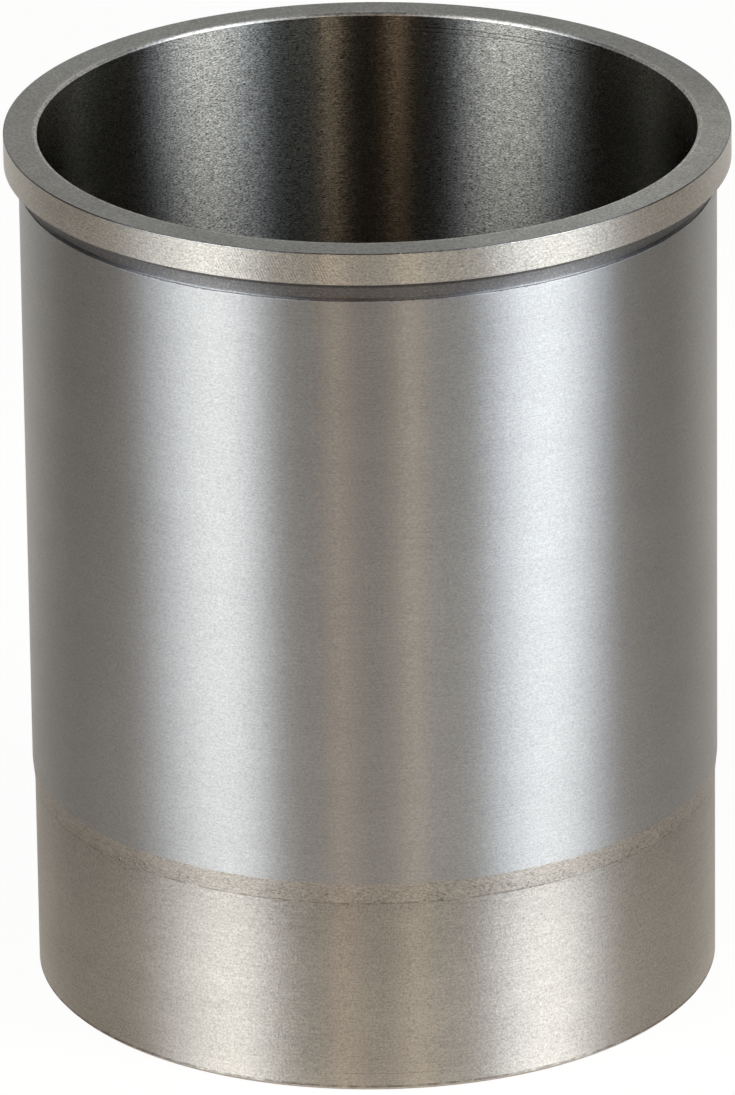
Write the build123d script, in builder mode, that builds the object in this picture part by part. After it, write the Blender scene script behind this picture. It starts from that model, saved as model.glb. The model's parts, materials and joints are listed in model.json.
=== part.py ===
from build123d import *
import os

# A flanged dry cylinder liner: one thin sleeve, turned all over from a cast iron tube.
# The origin is the centre of the lower end face. +Z runs up the bore towards the flange.
# All sizes are in millimetres.

# Across the axis
bore_diameter = 100.0
wall_thickness = 2.9  # at the barrel, which is ground to hold in the block's bore
pilot_step = 0.35  # how far the pilot stands in from the barrel, so that it slips into the block
flange_overhang = 2.2  # how far the flange stands out from the barrel, to stop in the block's counterbore

# Along the axis
overall_length = 136.6
flange_height = 5.0  # from the seat up to the top face
pilot_length = 30.9  # from the lower end face to the lead-in taper
lead_in_length = 3.45  # the taper that brings the pilot out to the barrel

# Relief groove under the flange, which lets the grinding wheel run out clear of the seat
relief_width = 3.3
relief_depth = 0.5
relief_corner_radius = 0.3

# Edges
bore_top_chamfer = 0.45
bore_bottom_chamfer = 0.5
nose_chamfer = 0.5  # outer edge of the lower end face
flange_edge_break = 0.15

# Radii and heights that follow from the sizes above
bore_radius = bore_diameter / 2
barrel_radius = bore_radius + wall_thickness
pilot_radius = barrel_radius - pilot_step
flange_radius = barrel_radius + flange_overhang
relief_radius = barrel_radius - relief_depth
seat_height = overall_length - flange_height
relief_bottom = seat_height - relief_width
barrel_bottom = pilot_length + lead_in_length


def corner(section, radius, height):
    """The corner of the wall's section that lies at this radius and height."""
    return section.vertices().sort_by_distance((radius, height))[0]


# The wall is one section through the axis, turned a full circle.
with BuildPart() as cylinder_liner:
    with BuildSketch(Plane.XZ) as wall:
        with BuildLine():
            Polyline(
                (bore_radius, 0),
                (pilot_radius, 0),
                (pilot_radius, pilot_length),
                (barrel_radius, barrel_bottom),
                (barrel_radius, relief_bottom),
                (relief_radius, relief_bottom),
                (relief_radius, seat_height),
                (flange_radius, seat_height),
                (flange_radius, overall_length),
                (bore_radius, overall_length),
                close=True,
            )
        make_face()
        # The grooving tool's nose leaves a radius in both corners of the relief.
        fillet(corner(wall, relief_radius, seat_height), radius=relief_corner_radius)
        fillet(corner(wall, relief_radius, relief_bottom), radius=relief_corner_radius)
        # The bore is opened at both ends, and the nose is eased to start in the block.
        chamfer(corner(wall, bore_radius, overall_length), length=bore_top_chamfer)
        chamfer(corner(wall, bore_radius, 0), length=bore_bottom_chamfer)
        chamfer(corner(wall, pilot_radius, 0), length=nose_chamfer)
        # The flange's two rims are only broken, so that they don't cut.
        chamfer(corner(wall, flange_radius, overall_length), length=flange_edge_break)
        chamfer(corner(wall, flange_radius, seat_height), length=flange_edge_break)
    revolve(axis=Axis.Z)

cylinder_liner.part.label = "cylinder_liner"

os.makedirs("parts", exist_ok=True)
export_step(cylinder_liner.part, "parts/cylinder_liner.step")
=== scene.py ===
"""A flanged cylinder liner: the finish of its machined surfaces, its light and its camera."""

import json
import math

import bpy
from mathutils import Matrix, Vector


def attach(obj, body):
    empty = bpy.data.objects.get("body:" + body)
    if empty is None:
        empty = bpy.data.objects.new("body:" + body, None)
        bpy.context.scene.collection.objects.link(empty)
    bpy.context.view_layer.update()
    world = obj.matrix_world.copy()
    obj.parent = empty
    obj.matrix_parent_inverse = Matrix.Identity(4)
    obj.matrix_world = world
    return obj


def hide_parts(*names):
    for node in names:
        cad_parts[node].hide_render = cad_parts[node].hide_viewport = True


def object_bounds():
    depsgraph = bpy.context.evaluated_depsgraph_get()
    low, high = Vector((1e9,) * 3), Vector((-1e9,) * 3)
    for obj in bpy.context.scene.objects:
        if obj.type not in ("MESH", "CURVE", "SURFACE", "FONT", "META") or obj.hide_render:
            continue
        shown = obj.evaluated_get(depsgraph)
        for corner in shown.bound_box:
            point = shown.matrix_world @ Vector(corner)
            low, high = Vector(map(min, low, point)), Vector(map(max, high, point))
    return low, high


MM = 0.001
MM_PER_METRE = 1000

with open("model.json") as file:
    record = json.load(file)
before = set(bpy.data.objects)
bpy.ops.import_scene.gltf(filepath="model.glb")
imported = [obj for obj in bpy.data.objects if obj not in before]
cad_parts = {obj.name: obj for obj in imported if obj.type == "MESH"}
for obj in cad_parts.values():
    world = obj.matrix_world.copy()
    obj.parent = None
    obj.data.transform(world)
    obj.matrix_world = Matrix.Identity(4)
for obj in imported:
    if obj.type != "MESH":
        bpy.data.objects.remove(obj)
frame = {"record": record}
cad_low, cad_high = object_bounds()
scene = bpy.context.scene
scene.view_settings.view_transform = "Standard"

# ---------------------------------------------------------------- the wall's section

mounts = {mount["name"]: mount for mount in frame["record"]["mounts"]}


def radius_of(name):
    return mounts[name]["dims"]["r_mm"] * MM


def span_of(name):
    """The lowest and highest point of a round mount's wall."""
    middle = mounts[name]["pos_m"][2]
    half = mounts[name]["dims"]["length_mm"] * MM / 2
    return middle - half, middle + half


bore_radius = radius_of("bore")
pilot_radius = radius_of("pilot")
barrel_radius = radius_of("barrel")
flange_radius = radius_of("flange_rim")
nose_top, pilot_top = span_of("pilot")
barrel_bottom, relief_bottom = span_of("barrel")
bore_bottom, bore_top = span_of("bore")
rim_bottom, rim_top = span_of("flange_rim")
seat_height = mounts["seat"]["pos_m"][2]
top_height = mounts["top_face"]["pos_m"][2]

# Small sizes that no mount states
RELIEF_DEPTH = 0.5 * MM
RELIEF_CORNER = 0.3 * MM  # the round that the grooving tool leaves in both corners of the relief
BURR = 0.12 * MM  # the round of the barrel's upper corner
MOUTH_BULGE = 0.06 * MM  # how far the middle of the mouth's chamfer stands in and up, to glint
EASE_LENGTH = 0.12 * MM  # of the eased corner at each end of that chamfer
EASE_DROP = 0.03 * MM

relief_radius = barrel_radius - RELIEF_DEPTH
corner_radius = relief_radius + RELIEF_CORNER
relief_wall_bottom = relief_bottom + RELIEF_CORNER
relief_wall_top = seat_height - RELIEF_CORNER
mouth_radius = bore_radius + (top_height - bore_top)
mouth_middle = (
    (bore_radius + mouth_radius) / 2 - MOUTH_BULGE,
    (bore_top + top_height) / 2 + MOUTH_BULGE,
)
exit_radius = bore_radius + bore_bottom
nose_radius = pilot_radius - nose_top
edge_break = top_height - rim_top
rim_edge = flange_radius - edge_break


def arc(centre_radius, centre_height, size, start, end, steps=4):
    """Points of a small round in the section. Angles are in degrees from the radial direction."""
    points = []
    for step in range(steps + 1):
        angle = math.radians(start + (end - start) * step / steps)
        point = (centre_radius + size * math.cos(angle), centre_height + size * math.sin(angle))
        points.append(point)
    return points


# Each stretch of the section is (finish, points from its start to its end), going round the wall.
SECTION = [
    ("faced", [(mouth_radius, top_height), (rim_edge, top_height)]),
    ("edge", arc(rim_edge, rim_top, edge_break, 90, 0)),
    ("rim", [(flange_radius, rim_top), (flange_radius, rim_bottom)]),
    ("edge", arc(rim_edge, rim_bottom, edge_break, 0, -90)),
    ("relief", [(rim_edge, seat_height), (corner_radius, seat_height)]),
    ("relief", arc(corner_radius, relief_wall_top, RELIEF_CORNER, 90, 180)),
    ("relief", [(relief_radius, relief_wall_top), (relief_radius, relief_wall_bottom)]),
    ("relief", arc(corner_radius, relief_wall_bottom, RELIEF_CORNER, 180, 270)),
    ("burr", [(corner_radius, relief_bottom), (barrel_radius - BURR, relief_bottom)]),
    ("burr", arc(barrel_radius - BURR, relief_bottom - BURR, BURR, 90, 0)),
    ("ground", [(barrel_radius, relief_bottom - BURR), (barrel_radius, barrel_bottom)]),
    ("lead_in", [(barrel_radius, barrel_bottom), (pilot_radius, pilot_top)]),
    ("turned", [(pilot_radius, pilot_top), (pilot_radius, nose_top)]),
    ("nose", [(pilot_radius, nose_top), (nose_radius, 0)]),
    ("faced", [(nose_radius, 0), (exit_radius, 0)]),
    ("nose", [(exit_radius, 0), (bore_radius, bore_bottom)]),
    ("bored", [(bore_radius, bore_bottom), (bore_radius, bore_top)]),
    ("mouth", [
        (bore_radius, bore_top),
        (bore_radius + EASE_DROP, bore_top + EASE_LENGTH),
        mouth_middle,
        (mouth_radius - EASE_LENGTH, top_height - EASE_DROP),
        (mouth_radius, top_height),
    ]),
]

# ---------------------------------------------------------------- finishes

FLECK_EDGE = 0.2  # how fast the noise level that bounds a fleck falls as flecks cover more
FLECK_SOFTNESS = 0.12
NOISE_TO_SHARE = 4.0  # takes most of the noise, which lies near 0.5, to between -1 and 1
DARKEST = 0.02  # no pattern darkens a finish to less than this share of its colour
QUARTER_TURN = 0.25  # turns the gloss to run up the wall, across the grooves


class Finish:
    """A machined iron surface. Its grooves run round the liner, so light streaks across them.

    edge_tint is how much of a glancing light it reflects, from 0 to 1.
    """

    def __init__(self, name, colour, roughness, anisotropy=1.0, edge_tint=1.0):
        self.material = bpy.data.materials.new(name)
        self.material.use_nodes = True
        self.nodes, self.links = self.material.node_tree.nodes, self.material.node_tree.links
        self.shader = self.nodes["Principled BSDF"]
        self.colour, self.roughness = colour, roughness
        self.shade = self.polish = self.bumps = None
        self.shader.inputs["Metallic"].default_value = 1.0
        self.shader.inputs["Specular Tint"].default_value = (edge_tint, edge_tint, edge_tint, 1)
        self.shader.inputs["Anisotropic"].default_value = anisotropy
        self.shader.inputs["Anisotropic Rotation"].default_value = QUARTER_TURN
        tangent = self.put("Tangent")
        tangent.direction_type = "RADIAL"
        tangent.axis = "Z"
        self.links.new(tangent.outputs["Tangent"], self.shader.inputs["Tangent"])
        self.place = self.put("TexCoord").outputs["Object"]
        self.x, self.y, self.z = self.put("SeparateXYZ", self.place).outputs

    def put(self, kind, *values, **settings):
        """Adds a node. Its inputs are set, or linked where a value is another node's output."""
        node = self.nodes.new("ShaderNode" + kind)
        for setting, value in settings.items():
            setattr(node, setting, value)
        for socket, value in zip(node.inputs, values):
            if isinstance(value, bpy.types.NodeSocket):
                self.links.new(value, socket)
            else:
                socket.default_value = value
        return node

    def maths(self, operation, *values):
        return self.put("Math", *values, operation=operation).outputs[0]

    def fade(self, value, low, high):
        """0 below low, 1 above high, and the other way round where low is the larger."""
        node = self.put("MapRange", value, interpolation_type="SMOOTHSTEP")
        node.inputs["From Min"].default_value = min(low, high)
        node.inputs["From Max"].default_value = max(low, high)
        node.inputs["To Min"].default_value = 1 if low > high else 0
        node.inputs["To Max"].default_value = 0 if low > high else 1
        return node.outputs["Result"]

    def between(self, value, low, high, soft):
        """1 from low to high, 0 outside, with soft ends."""
        rise = self.fade(value, low - soft, low)
        return self.maths("MULTIPLY", rise, self.fade(value, high + soft, high))

    def noise(self, along, up, detail=0.0, offset=0.0):
        """Noise from 0 to 1, with spots this long round the liner and this high, in millimetres."""
        size = (MM_PER_METRE / along, MM_PER_METRE / along, MM_PER_METRE / up)
        scaled = self.put("VectorMath", self.place, size, operation="MULTIPLY").outputs[0]
        shift = (offset, offset, offset)
        moved = self.put("VectorMath", scaled, shift, operation="ADD").outputs[0]
        return self.spots(moved, detail)

    def rings(self, high):
        """Noise from 0 to 1 that is the same all round, in rings this many millimetres high."""
        level = self.maths("MULTIPLY", self.z, MM_PER_METRE / high)
        return self.spots(self.put("CombineXYZ", 0.0, 0.0, level).outputs[0])

    def spots(self, vector, detail=0.0):
        """Noise from 0 to 1 at this point, with spots about 1 across."""
        node = self.put("TexNoise")
        self.links.new(vector, node.inputs["Vector"])
        node.inputs["Scale"].default_value = 1.0
        node.inputs["Detail"].default_value = detail
        return node.outputs["Fac"]

    def flecks(self, along, up, share, offset=0.0):
        """Spots that cover about this share of the surface."""
        edge = 0.5 + FLECK_EDGE * (0.5 - share)
        return self.fade(self.noise(along, up, 1.0, offset), edge, edge + FLECK_SOFTNESS)

    def angle(self):
        """Degrees round the liner, from its front towards its right."""
        turn = self.maths("ARCTAN2", self.x, self.maths("MULTIPLY", self.y, -1.0))
        return self.maths("MULTIPLY", turn, math.degrees(1))

    def distance(self):
        """Millimetres from the liner's middle line."""
        squares = [self.maths("MULTIPLY", side, side) for side in (self.x, self.y)]
        return self.maths("MULTIPLY", self.maths("SQRT", self.maths("ADD", *squares)), MM_PER_METRE)

    def tint(self, pattern, amount):
        """Lightens the colour by this share where the pattern is 1. A negative share darkens it."""
        share = self.maths("MULTIPLY_ADD", pattern, amount, 1.0)
        self.shade = share if self.shade is None else self.maths("MULTIPLY", self.shade, share)

    def grain(self, pattern, amount):
        """Lightens and darkens the colour about its mean by a pattern from 0 to 1."""
        self.tint(self.maths("MULTIPLY_ADD", pattern, NOISE_TO_SHARE, -NOISE_TO_SHARE / 2), amount)

    def roughen(self, pattern, amount):
        """Adds this much roughness where the pattern is 1."""
        start = self.roughness if self.polish is None else self.polish
        self.polish = self.maths("MULTIPLY_ADD", pattern, amount, start)

    def raise_up(self, pattern, height):
        """Adds bumps that are this many millimetres high where the pattern is 1."""
        start = 0.0 if self.bumps is None else self.bumps
        self.bumps = self.maths("MULTIPLY_ADD", pattern, height * MM, start)

    def done(self):
        """Links the colour, roughness and bumps to the shader, and gives the material."""
        inputs = self.shader.inputs
        shaded = self.put("VectorMath", self.colour, operation="SCALE")
        self.links.new(self.maths("MAXIMUM", self.shade, DARKEST), shaded.inputs["Scale"])
        self.links.new(shaded.outputs[0], inputs["Base Color"])
        if self.polish is None:
            inputs["Roughness"].default_value = self.roughness
        else:
            self.links.new(self.polish, inputs["Roughness"])
        if self.bumps is not None:
            bump = self.put("Bump")
            bump.inputs["Distance"].default_value = 1.0
            self.links.new(self.bumps, bump.inputs["Height"])
            self.links.new(bump.outputs[0], inputs["Normal"])
        return self.material


# Below, the first two numbers of a noise or of flecks are the length and height of their spots in
# millimetres, and the last one only moves them, so that no two patterns lie on each other. Angles
# are in degrees from the liner's front towards its right.


def faced():
    """The top and the lower end: a fine cut, with a painted sheen at its right and at the mouth."""
    made = Finish("faced", (0.405, 0.405, 0.388), 0.36, 0.5)
    # painted sheen: the face is lighter from 30 to 85 degrees right of the front
    made.tint(made.between(made.angle(), 30, 85, 25), 0.3)
    made.grain(made.noise(0.36, 0.36, 1.0), 0.32)
    distance = made.distance()
    mouth_edge = mouth_radius * MM_PER_METRE
    # painted glint: a patchy bright ring on the face at the mouth's edge
    painted_glint = made.fade(distance, mouth_edge + 0.35, mouth_edge + 0.15)
    painted_glint = made.maths("MULTIPLY", painted_glint, made.fade(made.noise(2, 2, 1.0, 6.0), 0.3, 0.55))
    made.tint(painted_glint, 0.4)
    cuts_per_mm = 4.0
    cut = made.put("CombineXYZ", made.maths("MULTIPLY", distance, cuts_per_mm), 0.0, 0.0).outputs[0]
    made.grain(made.spots(cut), 0.05)
    made.grain(made.noise(5, 5, 2.0, 3.0), 0.09)
    made.roughen(made.noise(5, 5, 2.0, 8.0), 0.06)
    made.raise_up(made.spots(cut), 0.002)
    return made.done()


def edge():
    """Broken outer edges, where the cuts left small light and dull places, with painted glints on
    top.
    """
    made = Finish("edge", (0.2, 0.195, 0.19), 0.26, 0.0)
    made.grain(made.noise(0.6, 0.4, 1.0), 0.3)
    upper = made.maths("GREATER_THAN", made.z, top_height - 1 * MM)
    stretch = made.between(made.angle(), 2, 20, 5)
    # painted glints: bright flecks on the top edge, from 2 to 20 degrees right of the front
    bright = made.maths("MULTIPLY", made.flecks(0.5, 0.5, 0.25, 3.0), stretch)
    made.tint(made.maths("MULTIPLY", bright, upper), 1.6)
    return made.done()


def burr():
    """The barrel's upper corner, with the marks of a small burr."""
    made = Finish("burr", (0.32, 0.317, 0.31), 0.36, 0.0)
    made.tint(made.flecks(0.6, 0.3, 0.25), -0.45)
    made.grain(made.noise(5, 5, 1.0, 4.0), 0.25)
    return made.done()


def nose():
    """The chamfers of the lower end."""
    made = Finish("nose", (0.5, 0.48, 0.44), 0.4, 0.0)
    made.grain(made.noise(0.4, 0.3, 1.0), 0.15)
    return made.done()


def mouth():
    """The chamfer at the bore's mouth, bright and slightly ragged, and duller at its two sides."""
    made = Finish("mouth", (0.68, 0.652, 0.606), 0.35, 0.5)
    made.grain(made.noise(0.5, 0.3, 1.0), 0.3)
    made.tint(made.flecks(0.7, 0.5, 0.2, 6.0), -0.3)
    made.roughen(made.fade(made.maths("ABSOLUTE", made.x), 36 * MM, 46 * MM), 0.25)
    return made.done()


def rim():
    """The flange's rim: coarse grain, with patches of slanting marks."""
    made = Finish("rim", (0.413, 0.402, 0.366), 0.3)
    made.grain(made.noise(0.38, 0.2, 1.0), 0.32)
    made.tint(made.flecks(0.35, 0.25, 0.3, 2.0), -0.12)
    made.grain(made.rings(0.35), 0.05)
    mm_per_degree = 0.962
    lean = 0.45 * MM_PER_METRE  # millimetres round the rim for each metre up it
    radians_per_mm = 14.0  # of the wave that the marks make
    along = made.maths("MULTIPLY", made.angle(), mm_per_degree)
    slant = made.maths("MULTIPLY_ADD", made.z, lean, along)
    marks = made.maths("SINE", made.maths("MULTIPLY", slant, radians_per_mm))
    patches = made.fade(made.noise(1.8, 1.5, 0.0, 7.0), 0.45, 0.55)
    patches = made.maths("MULTIPLY", made.between(made.angle(), -24, -6, 3), patches)
    made.tint(made.maths("MULTIPLY", marks, patches), 0.2)
    made.roughen(made.noise(4, 2, 1.0, 5.0), 0.05)
    made.raise_up(made.noise(0.36, 0.24, 1.0, 11.0), 0.025)
    return made.done()


def relief():
    """The relief groove: dull and dark, with painted shade that makes it darkest under the flange.
    """
    made = Finish("relief", (0.158, 0.157, 0.157), 0.44, 0.9)
    made.grain(made.noise(0.35, 0.2, 1.0), 0.22)
    made.tint(made.flecks(0.3, 0.25, 0.12, 3.0), 0.4)
    # painted shade: the groove is darker just under the flange
    made.tint(made.fade(made.z, seat_height - 1.6 * MM, seat_height - 1.1 * MM), -0.5)
    made.tint(made.fade(made.z, relief_bottom + 0.2 * MM, relief_bottom + 0.06 * MM), 1.1)
    corner = made.between(made.z, relief_bottom + 0.13 * MM, relief_bottom + 0.2 * MM, 0.05 * MM)
    made.tint(corner, -0.2)
    made.grain(made.rings(0.3), 0.08)
    made.roughen(made.noise(3, 1, 1.0, 5.0), 0.06)
    return made.done()


def ground():
    """The barrel: ground fine, with painted shade that darkens its top a little, and a speckle
    stretched round it.
    """
    made = Finish("ground", (0.361, 0.365, 0.36), 0.4)
    made.grain(made.noise(0.38, 0.22, 1.0), 0.155)
    made.tint(made.flecks(0.3, 0.25, 0.1, 6.0), -0.1)
    made.grain(made.noise(3.0, 0.2, 0.0, 9.0), 0.03)
    made.grain(made.rings(0.22), 0.02)
    # painted shade: the barrel is 5 % darker towards its top
    made.tint(made.fade(made.z, top_height - 60 * MM, top_height - 12 * MM), -0.05)
    made.grain(made.noise(24, 7, 2.0, 5.0), 0.03)
    made.roughen(made.noise(14, 5, 2.0, 8.0), 0.02)
    made.raise_up(made.noise(0.4, 0.26, 1.0, 11.0), 0.011)
    return made.done()


def lead_in():
    """The taper under the barrel: coarse, with dark specks, turning streaks and a dark foot."""
    made = Finish("lead_in", (0.357, 0.339, 0.304), 0.34)
    made.grain(made.noise(0.38, 0.24, 1.0), 0.24)
    lower = made.fade(made.z, barrel_bottom - 0.5 * MM, pilot_top + 0.8 * MM)
    clusters = made.maths("MULTIPLY", lower, made.fade(made.noise(5, 2, 1.0, 6.0), 0.4, 0.6))
    made.tint(made.maths("MULTIPLY", made.flecks(0.5, 0.22, 0.35, 2.0), clusters), -0.42)
    made.tint(made.flecks(0.5, 0.22, 0.25, 7.0), -0.3)
    made.grain(made.noise(1.0, 0.2, 0.0, 9.0), 0.08)
    foot = made.between(made.z, pilot_top - 0.05 * MM, pilot_top + 0.22 * MM, 0.08 * MM)
    ragged = made.fade(made.noise(3, 3, 2.0, 4.0), 0.35, 0.6)
    made.tint(made.maths("MULTIPLY", foot, ragged), -0.3)
    made.roughen(made.noise(3, 1, 1.0, 5.0), 0.08)
    made.raise_up(made.noise(0.42, 0.26, 1.0, 11.0), 0.028)
    return made.done()


def turned():
    """The pilot: turned, with a coarse warm speckle and a faint scribed line near its foot."""
    made = Finish("turned", (0.415, 0.398, 0.362), 0.39)
    made.grain(made.noise(0.33, 0.28, 1.0), 0.2)
    # painted light: the pilot is lighter towards its foot
    made.tint(made.fade(made.z, 7 * MM, 1 * MM), 0.07)
    # painted shade: the pilot is darker towards its top
    made.tint(made.fade(made.z, 14 * MM, pilot_top), -0.1)
    made.tint(made.flecks(0.32, 0.28, 0.15, 2.0), -0.16)
    upper = made.fade(made.z, pilot_top - 4 * MM, pilot_top)
    made.tint(made.maths("MULTIPLY", made.flecks(0.5, 0.3, 0.3, 6.0), upper), -0.22)
    made.grain(made.noise(2.5, 0.2, 0.0, 9.0), 0.05)
    made.grain(made.rings(0.3), 0.025)
    made.grain(made.noise(12, 5, 2.0, 5.0), 0.04)
    scribe = made.between(made.z, 2.8 * MM, 2.86 * MM, 0.06 * MM)
    scribe = made.maths("MULTIPLY", scribe, made.between(made.angle(), -7, 10, 3))
    made.tint(made.maths("MULTIPLY", scribe, made.noise(2, 2, 1.0, 4.0)), -0.45)
    foot = made.between(made.z, 0.45 * MM, 0.8 * MM, 0.12 * MM)
    ragged = made.fade(made.noise(1.5, 1.0, 2.0, 4.0), 0.3, 0.6)
    made.tint(made.maths("MULTIPLY", foot, ragged), -0.45)
    made.roughen(made.noise(10, 4, 2.0, 8.0), 0.03)
    made.raise_up(made.noise(0.36, 0.3, 1.0, 11.0), 0.018)
    return made.done()


def bored():
    """The bore: honed dark, with specks, short strokes and two ring marks below the mouth."""
    made = Finish("bored", (0.235, 0.228, 0.206), 0.315, 1.0, 0.0)
    made.grain(made.noise(0.36, 0.09, 1.0), 1.0)
    made.tint(made.flecks(0.4, 0.12, 0.3, 2.0), -0.35)
    made.grain(made.noise(1.2, 0.1, 0.0, 9.0), 0.25)
    made.grain(made.rings(0.25), 0.06)
    # painted light: the bore is lighter towards its mouth
    made.tint(made.fade(made.z, top_height - 14 * MM, top_height - 1 * MM), 0.3)
    for depth in (2.2, 2.9):
        mark_bottom = top_height - (depth + 0.04) * MM
        mark = made.between(made.z, mark_bottom, top_height - depth * MM, 0.07 * MM)
        patches = made.fade(made.noise(8, 8, 1.0, depth), 0.4, 0.5)
        made.tint(made.maths("MULTIPLY", mark, patches), -0.3)
        made.tint(made.maths("MULTIPLY", mark, made.between(made.angle(), 142, 168, 6)), -0.7)
    made.raise_up(made.noise(0.4, 0.1, 1.0, 11.0), 0.006)
    return made.done()


FINISHES = {make.__name__: make() for make in (
    faced, edge, burr, nose, mouth, rim, relief, ground, lead_in, turned, bored,
)}

# ---------------------------------------------------------------- the liner

SEGMENTS = 384  # round the liner
SUPPORT = 0.03 * MM  # from each end of a straight stretch to the ring that holds its shading flat
SHARPEST_SMOOTH = 24  # degrees: a sharper corner keeps its crease
STRIP_GAP = 2 * MM  # between two strips of the map, and round its edges
LEAST_STRIP = 1.2 * MM  # high, so that a narrow stretch still gets a few rows of the baked image


def with_support(points):
    """A straight stretch gets a ring close to each end, so that smooth shading bends only there."""
    if len(points) > 2:
        return points
    start, end = Vector(points[0]), Vector(points[1])
    step = (end - start).normalized() * min(SUPPORT, (end - start).length / 4)
    return [tuple(start), tuple(start + step), tuple(end - step), tuple(end)]


def turn(name, section):
    """Turns the section round Z into one closed mesh, each stretch with its own finish.

    Its map lays each stretch out as a straight strip, all at one scale, one above the other.
    """
    names = list(FINISHES)
    rings = []
    strip_foot = STRIP_GAP
    for finish, points in section:
        points = with_support(points)
        lengths = [math.dist(start, end) for start, end in zip(points, points[1:])]
        scale = max(1.0, LEAST_STRIP / sum(lengths))
        for start, length in zip(points, lengths):
            strip_head = strip_foot + length * scale
            rings.append((start, names.index(finish), strip_foot, strip_head))
            strip_foot = strip_head
        strip_foot += STRIP_GAP
    strip_length = 2 * math.pi * flange_radius
    map_width = strip_length + 2 * STRIP_GAP
    map_height = max(strip_foot, map_width)

    vertices = []
    for (radius, height), _, _, _ in rings:
        for step in range(SEGMENTS):
            angle = 2 * math.pi * step / SEGMENTS
            vertices.append((radius * math.sin(angle), radius * math.cos(angle), height))
    faces = []
    finish_of = []
    map_points = []
    for ring, (_, finish, foot, head) in enumerate(rings):
        after = (ring + 1) % len(rings)
        for step in range(SEGMENTS):
            beside = (step + 1) % SEGMENTS
            faces.append((
                ring * SEGMENTS + step,
                ring * SEGMENTS + beside,
                after * SEGMENTS + beside,
                after * SEGMENTS + step,
            ))
            finish_of.append(finish)
            left = (STRIP_GAP + strip_length * step / SEGMENTS) / map_width
            right = (STRIP_GAP + strip_length * (step + 1) / SEGMENTS) / map_width
            low_edge, high_edge = foot / map_height, head / map_height
            map_points += [left, low_edge, right, low_edge, right, high_edge, left, high_edge]
    mesh = bpy.data.meshes.new(name)
    mesh.from_pydata(vertices, [], faces)
    for finish in FINISHES.values():
        mesh.materials.append(finish)
    mesh.polygons.foreach_set("material_index", finish_of)
    mesh.polygons.foreach_set("use_smooth", [True] * len(faces))
    mesh.uv_layers.new(name="OFBake").data.foreach_set("uv", map_points)
    mesh.update()
    mesh.set_sharp_from_angle(angle=math.radians(SHARPEST_SMOOTH))
    made = bpy.data.objects.new(name, mesh)
    scene.collection.objects.link(made)
    return made


liner = turn("liner", SECTION)
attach(liner, "root")
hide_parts("cylinder_liner")

# ---------------------------------------------------------------- floor and backdrop

FLOOR_RADIUS = 0.62
FLOOR_SIDES = 128
FLOOR_GAP = 0.05 * MM  # keeps the floor from flickering through the lower end face
FLOOR_COLOUR = (0.905, 0.8, 0.698, 1)
FLOOR_WHITENESS = 0.95  # share of pure white that the camera sees. The rest shows the shadow.

WHITE = (1, 1, 1, 1)
ROOM = (0.01, 0.01, 0.01, 1)  # the dark studio
BACK_LEFT = (0.265, 0.26, 0.24, 1)  # the studio behind the liner
BACK_RIGHT = (0.49, 0.475, 0.445, 1)

# Each of these parts of the world fades in from its first number to its second, along its axis.
BEHIND = (0.3, 0.95)  # Y
RIGHT = (-0.5, 0.5)  # X
ABOVE = (0.1, 0.3)  # Z


def combined(nodes, links, operation, *values):
    """A Math node's result for two values, each a number or another node's output."""
    node = nodes.new("ShaderNodeMath")
    node.operation = operation
    for socket, value in zip(node.inputs, values):
        if isinstance(value, bpy.types.NodeSocket):
            links.new(value, socket)
        else:
            socket.default_value = value
    return node.outputs[0]


def light_path_share(nodes, links, *rays):
    """1 for rays of these kinds, 0 for the others."""
    path = nodes.new("ShaderNodeLightPath")
    share = path.outputs[rays[0]]
    for ray in rays[1:]:
        share = combined(nodes, links, "MAXIMUM", share, path.outputs[ray])
    return share


def make_floor():
    bpy.ops.mesh.primitive_circle_add(
        vertices=FLOOR_SIDES,
        radius=FLOOR_RADIUS,
        fill_type="NGON",
        location=(0, 0, cad_low.z - FLOOR_GAP),
    )
    floor = bpy.context.object
    floor.name = "floor"
    material = bpy.data.materials.new("floor")
    material.use_nodes = True
    nodes, links = material.node_tree.nodes, material.node_tree.links
    nodes.clear()
    diffuse = nodes.new("ShaderNodeBsdfDiffuse")
    diffuse.inputs["Color"].default_value = FLOOR_COLOUR
    white = nodes.new("ShaderNodeEmission")
    white.inputs["Strength"].default_value = 1.0
    seen = light_path_share(nodes, links, "Is Camera Ray")
    mix = nodes.new("ShaderNodeMixShader")
    links.new(combined(nodes, links, "MULTIPLY", seen, FLOOR_WHITENESS), mix.inputs["Fac"])
    links.new(diffuse.outputs[0], mix.inputs[1])
    links.new(white.outputs[0], mix.inputs[2])
    output = nodes.new("ShaderNodeOutputMaterial")
    links.new(mix.outputs[0], output.inputs["Surface"])
    floor.data.materials.append(material)


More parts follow.
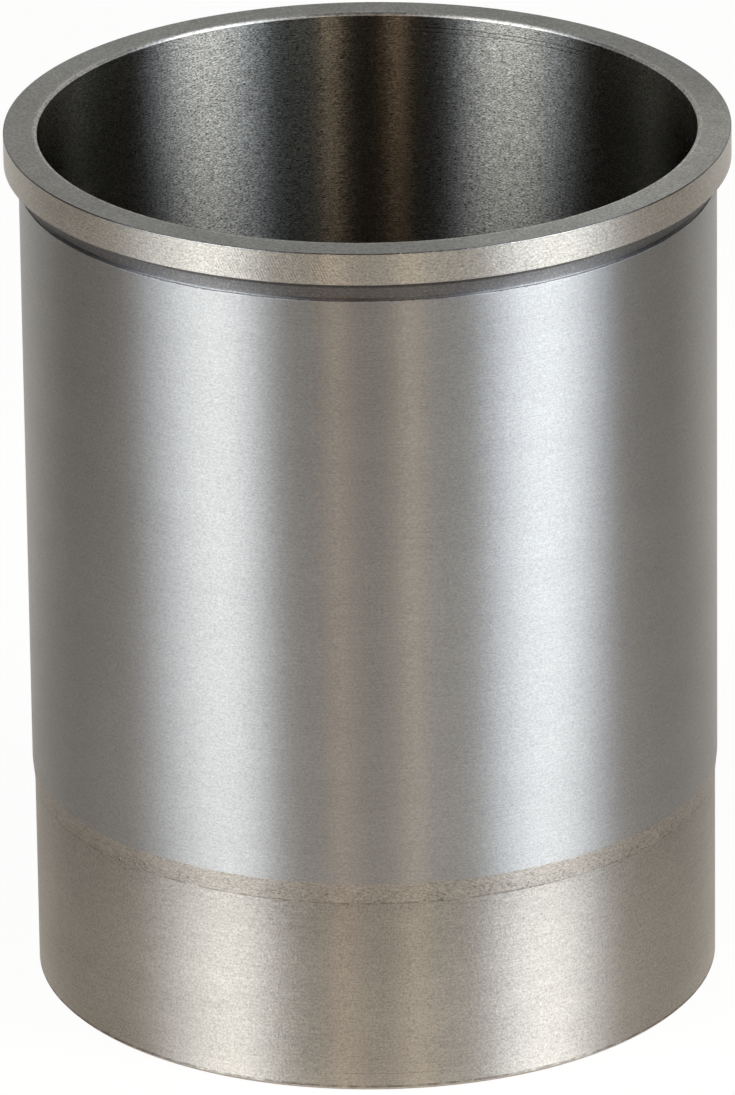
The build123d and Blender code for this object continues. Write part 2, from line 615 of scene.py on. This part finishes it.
def make_world():
    """A backdrop that is white to the camera, in a dark studio that lights the liner a little.

    Gloss sees the white backdrop too, but only behind the liner and low down.
    """
    world = bpy.data.worlds.new("studio")
    scene.world = world
    world.use_nodes = True
    nodes, links = world.node_tree.nodes, world.node_tree.links
    nodes.clear()
    direction = nodes.new("ShaderNodeTexCoord")
    axes = nodes.new("ShaderNodeSeparateXYZ")
    links.new(direction.outputs["Generated"], axes.inputs[0])

    def ramp(axis, limits):
        node = nodes.new("ShaderNodeMapRange")
        node.interpolation_type = "SMOOTHSTEP"
        node.inputs["From Min"].default_value = limits[0]
        node.inputs["From Max"].default_value = limits[1]
        links.new(axes.outputs[axis], node.inputs["Value"])
        return node.outputs["Result"]

    def mixed(factor, first, second):
        node = nodes.new("ShaderNodeMix")
        node.data_type = "RGBA"
        links.new(factor, node.inputs[0])
        for socket, value in ((node.inputs[6], first), (node.inputs[7], second)):
            if isinstance(value, tuple):
                socket.default_value = value
            else:
                links.new(value, socket)
        return node.outputs[2]

    behind = ramp("Y", BEHIND)
    back = mixed(ramp("X", RIGHT), BACK_LEFT, BACK_RIGHT)
    room = nodes.new("ShaderNodeBackground")
    links.new(mixed(behind, ROOM, back), room.inputs["Color"])
    low = combined(nodes, links, "SUBTRACT", 1.0, ramp("Z", ABOVE))
    glossy = light_path_share(nodes, links, "Is Glossy Ray", "Is Transmission Ray")
    glossy = combined(nodes, links, "MULTIPLY", glossy, behind)
    glossy = combined(nodes, links, "MULTIPLY", glossy, low)
    seen = light_path_share(nodes, links, "Is Camera Ray")
    white = nodes.new("ShaderNodeBackground")
    white.inputs["Color"].default_value = WHITE
    mix = nodes.new("ShaderNodeMixShader")
    links.new(combined(nodes, links, "MAXIMUM", glossy, seen), mix.inputs["Fac"])
    links.new(room.outputs[0], mix.inputs[1])
    links.new(white.outputs[0], mix.inputs[2])
    output = nodes.new("ShaderNodeOutputWorld")
    links.new(mix.outputs[0], output.inputs["Surface"])


make_floor()
make_world()

# ---------------------------------------------------------------- lamps

DARK = (0, 0, 0, 1)
HALF = (0.47, 0.495, 0.55, 1)  # halfway from a softbox's side to its bright middle, a little blue
LAMP_TOP = 1.2  # height of every lamp's upper edge


def dim_sides(lamp, bright_from, bright_to):
    """The lamp is fully bright between these two shares of its width, and dims to its two sides."""
    lamp.use_nodes = True
    nodes, links = lamp.node_tree.nodes, lamp.node_tree.links
    geometry = nodes.new("ShaderNodeNewGeometry")
    axes = nodes.new("ShaderNodeSeparateXYZ")
    links.new(geometry.outputs["Parametric"], axes.inputs[0])
    ramp = nodes.new("ShaderNodeValToRGB")
    stops = ramp.color_ramp.elements
    stops[0].position, stops[0].color = 0.0, DARK
    stops[1].position, stops[1].color = bright_from, WHITE
    for position, colour in (
        (bright_to, WHITE),
        (1.0, DARK),
        (bright_from / 2, HALF),
        (bright_to / 2 + 0.5, HALF),
    ):
        stops.new(position).color = colour
    links.new(axes.outputs[0], ramp.inputs["Fac"])
    links.new(ramp.outputs["Color"], nodes["Emission"].inputs["Color"])


def softbox(name, start, end, low, distance, radiance, colour, bright=None):
    """An upright lamp that faces the liner, from one azimuth to another.

    Azimuths are in degrees to the right of the camera. bright gives the shares of the lamp's width
    between which it is fully bright.
    """
    lamp = bpy.data.lights.new(name, "AREA")
    lamp.shape = "RECTANGLE"
    lamp.size = 2 * distance * math.tan(math.radians((end - start) / 2))
    lamp.size_y = LAMP_TOP - low
    lamp.energy = radiance * math.pi * lamp.size * lamp.size_y
    lamp.color = colour
    if bright:
        dim_sides(lamp, *bright)
    holder = bpy.data.objects.new(name, lamp)
    angle = math.radians((start + end) / 2)
    middle = (low + LAMP_TOP) / 2
    holder.location = (distance * math.sin(angle), -distance * math.cos(angle), middle)
    facing = Vector((-math.sin(angle), math.cos(angle), 0))
    holder.rotation_euler = facing.to_track_quat("-Z", "Y").to_euler()
    holder.visible_camera = False
    scene.collection.objects.link(holder)


softbox("left_softbox", -84.5, -31, low=0.3, distance=0.9, radiance=10.3,
        colour=(0.98, 1.01, 1.032), bright=(0.5, 0.69))
softbox("right_softbox", 34.2, 87.2, low=0.3, distance=0.9, radiance=11.9,
        colour=(0.965, 1.01, 1.058), bright=(0.42, 0.61))
softbox("right_glow", 17, 31, low=0.3, distance=1.0, radiance=0.7, colour=(0.94, 1.02, 1.04))
softbox("left_strip", -11.4, -10.4, low=0.3, distance=1.2, radiance=11.6, colour=(1.42, 1.0, 0.66))
softbox("right_strip", 11.8, 14.2, low=0.4, distance=1.2, radiance=9.8, colour=(1.26, 1.02, 0.75))

# ---------------------------------------------------------------- camera

# It looks down on the liner from far off, with a long lens. Its distance from the middle of the top
# face, and the point that it aims at, are in flange radii.
DISTANCE = 32.1811
AIM_SIDE = -0.0136
AIM_HEIGHT = -1.2555
ELEVATION = 20.2441  # degrees
ROLL = -0.7302  # degrees
LENS = 385.18  # millimetres
SENSOR_WIDTH = 36  # millimetres


def make_camera():
    elevation = math.radians(ELEVATION)
    roll = math.radians(ROLL)
    top = Vector((0, 0, top_height))
    place = Vector((0, -math.cos(elevation), math.sin(elevation))) * DISTANCE * flange_radius
    aim = Vector((AIM_SIDE, 0, AIM_HEIGHT)) * flange_radius
    forward = (aim - place).normalized()
    right = forward.cross(Vector((0, 0, 1))).normalized()
    up = right.cross(forward)
    rolled_right = right * math.cos(roll) + up * math.sin(roll)
    rolled_up = up * math.cos(roll) - right * math.sin(roll)
    turned_to = Matrix((rolled_right, rolled_up, -forward)).transposed().to_4x4()
    data = bpy.data.cameras.new("camera")
    data.lens = LENS
    data.sensor_width = SENSOR_WIDTH
    data.clip_start = 0.1
    data.clip_end = 50
    camera = bpy.data.objects.new("camera", data)
    camera.matrix_world = Matrix.Translation(top + place) @ turned_to
    scene.collection.objects.link(camera)
    scene.camera = camera


make_camera()
